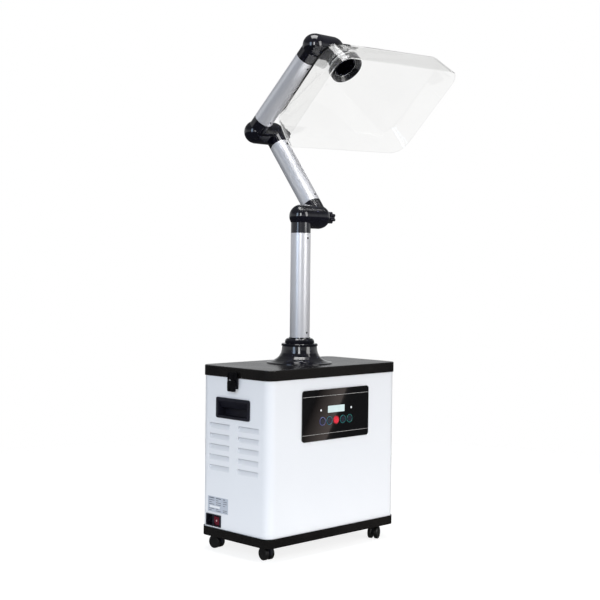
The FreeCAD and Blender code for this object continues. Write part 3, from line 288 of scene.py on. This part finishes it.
def panel_gloss():
    s = Shader("polished_panel", (0.003, 0.003, 0.0035), 0.04, Coat_Weight=0.6, Coat_Roughness=0.02)
    s.vary_colour(s.noise(5.0), (0.002, 0.002, 0.0025), (0.004, 0.004, 0.0045))
    smudged(s, 0.03, 0.06, 8.0)
    return s.material


def lit(name, colour, strength, grain):
    """A lit surface, a little uneven, as behind a diffuser."""
    s = Shader(name, (0.02, 0.02, 0.02), 0.25)
    spread = s.noise(grain, 2.0)
    glow = s.ramp(spread, ((0.2, tuple(0.88 * c for c in colour)), (0.8, colour)))
    s.link(glow, s.shader.inputs["Emission Color"])
    s.set("Emission Strength", strength)
    return s.material


def red_plastic():
    s = Shader("red_plastic", (0.75, 0.015, 0.04), 0.15, Coat_Weight=0.5, Coat_Roughness=0.08)
    s.vary_colour(s.noise(60.0), (0.68, 0.012, 0.03), (0.85, 0.03, 0.06))
    smudged(s, 0.12, 0.22, 40.0)
    return s.material


def smoked_red():
    s = Shader("smoked_red_plastic", (0.10, 0.008, 0.018), 0.15, Coat_Weight=0.5, Coat_Roughness=0.08)
    s.vary_colour(s.noise(70.0), (0.07, 0.006, 0.012), (0.15, 0.012, 0.028))
    smudged(s, 0.12, 0.22, 40.0)
    return s.material


def button_black():
    s = Shader("button_black", (0.012, 0.016, 0.026), 0.14, Coat_Weight=0.5, Coat_Roughness=0.06)
    s.vary_colour(s.noise(80.0), (0.010, 0.013, 0.022), (0.018, 0.024, 0.038))
    smudged(s, 0.1, 0.2, 60.0)
    return s.material


def coloured_ring(name, low, high):
    """A thin printed ring round a button."""
    s = Shader(name, low, 0.3)
    s.vary_colour(s.noise(120.0), low, high)
    return s.material


def clear_acrylic():
    s = Shader("clear_acrylic", (0.96, 0.962, 0.96), 0.0, Transmission_Weight=1.0, IOR=1.02,
               Coat_Weight=0.7, Coat_Roughness=0.015)
    s.vary_colour(s.noise(6.0), (0.925, 0.925, 0.92), (0.95, 0.95, 0.946))
    s.bump(s.noise(7.0, 1.0), 0.05, 0.003)
    return s.material


def steel(name, dark, light, rough=0.35):
    s = Shader(name, dark, rough, 1.0)
    s.vary_colour(s.noise(40.0, 5.0), dark, light)
    smudged(s, rough - 0.1, rough + 0.1, 80.0)
    return s.material


def castor_nylon():
    s = Shader("castor_nylon", (0.006, 0.006, 0.006), 0.35)
    s.vary_colour(s.noise(90.0, 4.0), (0.004, 0.004, 0.004), (0.010, 0.010, 0.009))
    s.bump(s.noise(500.0, 3.0), 0.12, 0.0004)
    smudged(s, 0.28, 0.45, 120.0)
    return s.material


def fibre(name, low, high, grain):
    s = Shader(name, low, 0.9, Sheen_Weight=0.2)
    fluff = s.noise(grain, 6.0, roughness=0.7)
    s.vary_colour(fluff, low, high)
    s.bump(fluff, 0.6, 0.002)
    return s.material


def circuit_board():
    s = Shader("circuit_board", (0.02, 0.14, 0.06), 0.35)
    s.vary_colour(s.noise(300.0, 1.0), (0.015, 0.11, 0.045), (0.03, 0.2, 0.08))
    s.bump(s.noise(900.0, 1.0), 0.2, 0.0003)
    return s.material


def label_film():
    s = Shader("pale_label_film", (0.50, 0.54, 0.62), 0.35)
    s.vary_colour(s.noise(25.0), (0.46, 0.50, 0.58), (0.56, 0.60, 0.67))
    return s.material


def label_ink():
    s = Shader("grey_label_ink", (0.1, 0.11, 0.14), 0.5)
    s.vary_colour(s.noise(200.0), (0.08, 0.09, 0.12), (0.16, 0.17, 0.2))
    return s.material


def trim_line():
    s = Shader("panel_trim", (0.5, 0.49, 0.48), 0.3)
    s.vary_colour(s.noise(50.0), (0.42, 0.41, 0.4), (0.58, 0.57, 0.56))
    return s.material


MATERIALS = {
    "white_paint": white_paint(),
    "black_top": black_plate(),
    "foam": fibre("foam_rubber", (0.02, 0.02, 0.02), (0.05, 0.05, 0.05), 700.0),
    "panel_gloss": panel_gloss(),
    "screen": lit("screen_glow", (0.76, 0.93, 0.94), 0.95, 60.0),
    "lamp": lit("lamp_glow", (0.93, 0.97, 1.0), 1.1, 90.0),
    "circuit_board": circuit_board(),
    "button_black": button_black(),
    "red_plastic": red_plastic(),
    "matte_black": matte_black(),
    "castor_rubber": castor_nylon(),
    "black_zinc": steel("black_passivated_steel", (0.02, 0.02, 0.024), (0.05, 0.05, 0.056), 0.3),
    "galvanised": steel("zinc_plate", (0.45, 0.46, 0.48), (0.66, 0.67, 0.68)),
    "white_fibre": fibre("filter_paper", (0.74, 0.75, 0.73), (0.88, 0.88, 0.86), 400.0),
    "carbon_felt": fibre("carbon_granules", (0.008, 0.008, 0.008), (0.05, 0.05, 0.05), 600.0),
    "blower_plastic": black_plate("fan_moulding"),
    "joint_gloss": joint_gloss(),
    "screw_black": steel("black_oxide", (0.02, 0.02, 0.022), (0.06, 0.06, 0.065), 0.4),
    "clear_acrylic": clear_acrylic(),
}
# The lean of each tube about X, from upright, in degrees.
TUBE_LEAN = {"lower_tube": 0.0, "middle_tube": -37.6, "upper_tube": 46.7}
# Other nodes that look different from the rest of their slot. The hood clamp's pale grey is a painted reflection
# of the clear hood's sheen over it.
NODE_MATERIALS = {"hood_clamp": painted_sheen_collar(), "rocker_switch": smoked_red()}


def material_for(name, slot):
    """A node's own material where it has one, or else the one for its slot."""
    if name in TUBE_LEAN:
        return anodised(f"drawn_{name}", TUBE_LEAN[name])
    if name in NODE_MATERIALS:
        return NODE_MATERIALS[name]
    return MATERIALS[slot]


def dress_nodes():
    for entry in frame["record"]["subparts"]:
        name = entry["node"]
        obj = NODES[name]
        obj.data.materials.clear()
        obj.data.materials.append(material_for(name, entry["material_slot"]))


# ---------------------------------------------------------------- mesh helpers


def add_piece(name, mesh, material, body, smooth=True):
    """Put a mesh in the scene, riding on a body."""
    obj = bpy.data.objects.new(name, mesh)
    bpy.context.scene.collection.objects.link(obj)
    mesh.materials.append(material)
    for polygon in mesh.polygons:
        polygon.use_smooth = smooth
    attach(obj, body)
    return obj


def mesh_of(name, bm):
    mesh = bpy.data.meshes.new(name)
    bmesh.ops.recalc_face_normals(bm, faces=bm.faces)
    bm.to_mesh(mesh)
    bm.free()
    return mesh


def turned_mesh(name, profile):
    """A closed outline of (radius, height) points turned about local Z."""
    bm = bmesh.new()
    rings = []
    for i in range(TURNED_SIDES):
        angle = 2 * math.pi * i / TURNED_SIDES
        rings.append([bm.verts.new((r * math.cos(angle), r * math.sin(angle), z))
                      for r, z in profile])
    count = len(profile)
    for i in range(TURNED_SIDES):
        here, there = rings[i], rings[(i + 1) % TURNED_SIDES]
        for k in range(count):
            bm.faces.new((here[k], there[k], there[(k + 1) % count], here[(k + 1) % count]))
    bmesh.ops.remove_doubles(bm, verts=bm.verts, dist=1e-7)
    return mesh_of(name, bm)


def block_mesh(name, low, high, bevel=0.0):
    """A block between two corners, with chamfered edges if it has a bevel."""
    bm = bmesh.new()
    bmesh.ops.create_cube(bm, size=1.0)
    size = Vector(high) - Vector(low)
    bmesh.ops.scale(bm, vec=size, verts=bm.verts)
    bmesh.ops.translate(bm, vec=(Vector(high) + Vector(low)) / 2, verts=bm.verts)
    if bevel:
        bmesh.ops.bevel(bm, geom=bm.edges[:], offset=bevel, segments=1, affect="EDGES", profile=0.5)
    return mesh_of(name, bm)


def aimed(place, direction, spin=Vector((1, 0, 0))):
    """A matrix at a point whose Z runs along a direction and whose X is close to spin."""
    z = Vector(direction).normalized()
    y = z.cross(spin).normalized()
    x = y.cross(z)
    return Matrix((
        (x.x, y.x, z.x, place[0]), (x.y, y.y, z.y, place[1]), (x.z, y.z, z.z, place[2]),
        (0, 0, 0, 1)))


# ---------------------------------------------------------------- panel and label


def panel_lines():
    """The two thin trim lines across the control panel."""
    low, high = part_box("control_panel")
    trim = trim_line()
    for i, part in enumerate(PANEL_LINES):
        z = low.z + part * (high.z - low.z)
        start = (low.x + LINE_INSET, low.y - LINE_RAISE, z - LINE_WIDTH / 2)
        end = (high.x - LINE_INSET, low.y + PRINT_SINK, z + LINE_WIDTH / 2)
        mesh = block_mesh(f"panel_line_{i}", start, end)
        add_piece(f"panel_line_{i}", mesh, trim, "cabinet", smooth=False)


def screen_masks(face):
    """Black strips over the screen's low and high edges, on the panel's face."""
    low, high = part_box("lcd_screen")
    masks = (("low", low.z - MASK_PAST, low.z + MASK_LOW),
             ("high", high.z - MASK_HIGH, high.z + MASK_PAST))
    for name, bottom, top in masks:
        start = (low.x, face - MASK_RAISE, bottom)
        end = (high.x, face + PRINT_SINK, top)
        mesh = block_mesh(f"screen_mask_{name}", start, end)
        add_piece(f"screen_mask_{name}", mesh, MATERIALS["panel_gloss"], "cabinet",
                  smooth=False)


def button_rings(face):
    """A coloured ring round each button, on the panel's face."""
    rings = {
        "timer": coloured_ring("ring_violet", (0.10, 0.10, 0.30), (0.2, 0.22, 0.5)),
        "slower": coloured_ring("ring_blue", (0.03, 0.16, 0.22), (0.08, 0.32, 0.4)),
        "power": coloured_ring("ring_red", (0.35, 0.01, 0.02), (0.5, 0.04, 0.05)),
        "faster": coloured_ring("ring_teal", (0.015, 0.12, 0.12), (0.03, 0.25, 0.25)),
        "light": coloured_ring("ring_green", (0.01, 0.14, 0.12), (0.03, 0.28, 0.24)),
    }
    for name, material in rings.items():
        button_low, button_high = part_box(f"button_{name}")
        centre = (button_low + button_high) / 2
        radius = (button_high.x - button_low.x) / 2
        inner = radius + RING_GAP
        outer = radius + RING_REACH
        outline = [(inner, 0.0), (outer, 0.0), (outer, RING_THICK), (inner, RING_THICK)]
        mesh = turned_mesh(f"ring_{name}", outline)
        mesh.transform(aimed((centre.x, face + RING_FOOT, centre.z), (0, -1, 0)))
        add_piece(f"button_ring_{name}", mesh, material, "cabinet")


def panel_details():
    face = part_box("control_panel")[0].y
    panel_lines()
    screen_masks(face)
    button_rings(face)


def rating_label():
    """A blank film with plain rules in place of lettering, every third of them a short one."""
    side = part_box("cabinet_shell")[0].x
    face = side - LABEL_FILM
    film = block_mesh("rating_label", (face, *LABEL_LOW), (side, *LABEL_HIGH), LABEL_BEVEL)
    add_piece("rating_label", film, label_film(), "cabinet", smooth=False)
    ink = label_ink()
    top = face - LABEL_INK
    for i, z in enumerate(LABEL_ROWS):
        half = LABEL_BOLD if i == 0 else LABEL_THIN
        for k, (start, end) in enumerate(LABEL_COLUMNS):
            if (i + k) % 3 == 2:
                end = start - (start - end) * LABEL_SHORT
            mesh = block_mesh("rule", (top, end, z - half), (face, start, z + half))
            add_piece(f"label_rule_{i}_{k}", mesh, ink, "cabinet", smooth=False)
    bar = block_mesh("label_bar", (top, *LABEL_BAR_LOW), (face, *LABEL_BAR_HIGH))
    add_piece("label_bar", bar, MATERIALS["white_paint"], "cabinet", smooth=False)


def ring_of_wire(name, radius, thick, place, direction):
    """A thin round wire bent into a ring about a direction."""
    angles = [2 * math.pi * i / WIRE_SIDES for i in range(WIRE_SIDES)]
    section = [(radius + thick * math.cos(a), thick * math.sin(a)) for a in angles]
    mesh = turned_mesh(name, section)
    mesh.transform(aimed(place, direction))
    return mesh


def nozzle_details():
    """A bright zinc lip at the nozzle's throat, a painted highlight standing for the shine on the throat's black
    edge, and the fine ribs on its flared mouth.
    """
    joint = next(j for j in frame["joints"] if j["name"] == "hood_turn")
    centre = Vector(joint["pos_m"])
    outward = Vector(joint["axis"]).normalized()
    if outward.z > 0:
        outward = -outward
    throat = centre + outward * THROAT_DEPTH
    # The zinc ring is a painted highlight: it stands for the shine on the black throat's edge.
    highlight_lip = ring_of_wire("nozzle_highlight_lip", THROAT_RADIUS, HIGHLIGHT_LIP_WIRE, throat, outward)
    add_piece("nozzle_highlight_lip", highlight_lip, MATERIALS["galvanised"], "head")
    for i in range(1, RIB_COUNT + 1):
        part = i / (RIB_COUNT + 1)
        radius = THROAT_RADIUS + part * (MOUTH_RADIUS - THROAT_RADIUS)
        depth = THROAT_DEPTH + part * (MOUTH_DEPTH - THROAT_DEPTH)
        rib = ring_of_wire(f"nozzle_rib_{i}", radius, RIB_WIRE, centre + outward * depth, outward)
        add_piece(f"nozzle_rib_{i}", rib, MATERIALS["joint_gloss"], "head")


def rocker_lens():
    """The small lamp window in the middle of the rocker's raised half."""
    low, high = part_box("rocker_switch")
    centre = (low + high) / 2
    outline = [(0.0, 0.0), (LENS_RADIUS, 0.0), (LENS_SHOULDER_RADIUS, LENS_SHOULDER), (0.0, LENS_CROWN)]
    lens = turned_mesh("rocker_lens", outline)
    place = (low.x + LENS_INSET, centre.y, centre.z + LENS_RISE)
    lens.transform(aimed(place, (-1, 0, 0), Vector((0, 1, 0))))
    glow = lit("lens_glow", (0.9, 0.5, 0.55), 0.55, 300.0)
    add_piece("rocker_lens", lens, glow, "rocker")


# ---------------------------------------------------------------- stage


def make_camera():
    azimuth = math.radians(CAMERA_AZIMUTH)
    elevation = math.radians(CAMERA_ELEVATION)
    roll = math.radians(CAMERA_ROLL)
    flat = math.cos(elevation)
    back = Vector((math.sin(azimuth) * flat, -math.cos(azimuth) * flat, math.sin(elevation)))
    level = Vector((0, 0, 1)).cross(back).normalized()
    above = back.cross(level)
    right = math.cos(roll) * level + math.sin(roll) * above
    up = -math.sin(roll) * level + math.cos(roll) * above
    camera = bpy.data.cameras.new("camera")
    camera.lens = CAMERA_LENS
    camera.sensor_width = CAMERA_SENSOR
    camera.clip_end = CAMERA_REACH
    obj = bpy.data.objects.new("camera", camera)
    bpy.context.scene.collection.objects.link(obj)
    columns = (right, up, back, CAMERA_PLACE)
    obj.matrix_world = Matrix([[c[i] for c in columns] for i in range(3)] + [[0, 0, 0, 1]])
    bpy.context.scene.camera = obj


def area_light(name, place, target, size, power, colour):
    light = bpy.data.lights.new(name, "AREA")
    light.shape = "RECTANGLE"
    light.size, light.size_y = size
    light.energy = power
    light.color = colour
    obj = bpy.data.objects.new(name, light)
    bpy.context.scene.collection.objects.link(obj)
    obj.visible_camera = False
    direction = Vector(place) - Vector(target)
    obj.matrix_world = aimed(place, direction, Vector((direction.y, -direction.x, 0.001)))


def make_world():
    """White to the camera and through clear sheet. Other rays see a band glow above the horizon."""
    world = bpy.data.worlds.new("studio")
    world.use_nodes = True
    tree = world.node_tree
    background = tree.nodes["Background"]
    place = tree.nodes.new("ShaderNodeTexCoord")
    height = tree.nodes.new("ShaderNodeSeparateXYZ")
    room = tree.nodes.new("ShaderNodeValToRGB")
    fill_ramp(room, [((level + 1) / 2, [glow * tint for tint in ROOM_TINT])
                     for level, glow in ROOM_GLOW])
    scale = tree.nodes.new("ShaderNodeMapRange")
    scale.inputs["From Min"].default_value = -1.0
    path = tree.nodes.new("ShaderNodeLightPath")
    seen = tree.nodes.new("ShaderNodeMath")
    seen.operation = "MAXIMUM"
    mix = tree.nodes.new("ShaderNodeMix")
    mix.data_type = "RGBA"
    mix.inputs[MIX_B].default_value = (1.0, 1.0, 1.0, 1.0)
    tree.links.new(place.outputs["Generated"], height.inputs["Vector"])
    tree.links.new(height.outputs["Z"], scale.inputs["Value"])
    tree.links.new(scale.outputs["Result"], room.inputs["Fac"])
    tree.links.new(path.outputs["Is Camera Ray"], seen.inputs[0])
    tree.links.new(path.outputs["Is Transmission Ray"], seen.inputs[1])
    tree.links.new(seen.outputs["Value"], mix.inputs["Factor"])
    tree.links.new(room.outputs["Color"], mix.inputs[MIX_A])
    tree.links.new(mix.outputs[MIX_RESULT], background.inputs["Color"])
    bpy.context.scene.world = world


def make_floor():
    """A white floor that fades into the backdrop away from the object."""
    bm = bmesh.new()
    bmesh.ops.create_circle(bm, cap_ends=True, segments=96, radius=FLOOR_RADIUS)
    mesh = mesh_of("floor", bm)
    floor = bpy.data.objects.new("floor", mesh)
    bpy.context.scene.collection.objects.link(floor)
    s = Shader("studio_floor", (0.35, 0.35, 0.35), 0.9, Emission_Strength=FLOOR_GLOW)
    s.set("Emission Color", (1.0, 1.0, 1.0, 1.0))
    reach = s.node("ShaderNodeVectorMath", operation="LENGTH")
    s.link(s.where(), reach.inputs[0])
    fade = s.node("ShaderNodeMapRange")
    fade.interpolation_type = "SMOOTHSTEP"
    fade.inputs["From Min"].default_value = FLOOR_RADIUS * FADE_START
    fade.inputs["From Max"].default_value = FLOOR_RADIUS * FADE_END
    fade.inputs["To Min"].default_value = 1.0
    fade.inputs["To Max"].default_value = 0.0
    s.link(reach.outputs["Value"], fade.inputs["Value"])
    s.link(fade.outputs["Result"], s.shader.inputs["Alpha"])
    mesh.materials.append(s.material)
    floor.visible_glossy = False


def make_card():
    """A soft-edged glow beyond the picture, mirrored by the panel as a slanted band."""
    across = Vector((CARD_WIDTH, 0, 0))
    bm = bmesh.new()
    corners = [CARD_LOW - across, CARD_LOW, CARD_HIGH, CARD_HIGH - across]
    bm.faces.new([bm.verts.new(corner) for corner in corners])
    mesh = mesh_of("panel_card", bm)
    card = bpy.data.objects.new("panel_card", mesh)
    bpy.context.scene.collection.objects.link(card)
    s = Shader("card_glow", (0, 0, 0), 1.0)
    place = s.node("ShaderNodeSeparateXYZ")
    s.link(s.where(), place.inputs["Vector"])
    slope = (CARD_HIGH.x - CARD_LOW.x) / (CARD_HIGH.z - CARD_LOW.z)
    lean = s.node("ShaderNodeMath", operation="MULTIPLY_ADD")
    lean.inputs[1].default_value = -slope
    s.link(place.outputs["Z"], lean.inputs[0])
    s.link(place.outputs["X"], lean.inputs[2])
    fade = s.node("ShaderNodeMapRange")
    edge = CARD_LOW.x - slope * CARD_LOW.z
    fade.inputs["From Min"].default_value = edge - CARD_WIDTH
    fade.inputs["From Max"].default_value = edge
    s.link(lean.outputs["Value"], fade.inputs["Value"])
    s.set("Emission Color", (*CARD_GLOW, 1.0))
    s.link(fade.outputs["Result"], s.shader.inputs["Emission Strength"])
    mesh.materials.append(s.material)
    card.visible_camera = False
    card.visible_diffuse = False
    card.visible_transmission = False
    card.visible_shadow = False


def make_stage():
    bpy.context.scene.view_settings.view_transform = "Standard"
    make_floor()
    make_card()
    make_world()
    for name, place, target, size, power, colour in SOFTBOXES:
        area_light(name, place, target, size, power, colour)


# ---------------------------------------------------------------- build


dress_nodes()
panel_details()
rating_label()
rocker_lens()
nozzle_details()
make_camera()
make_stage()
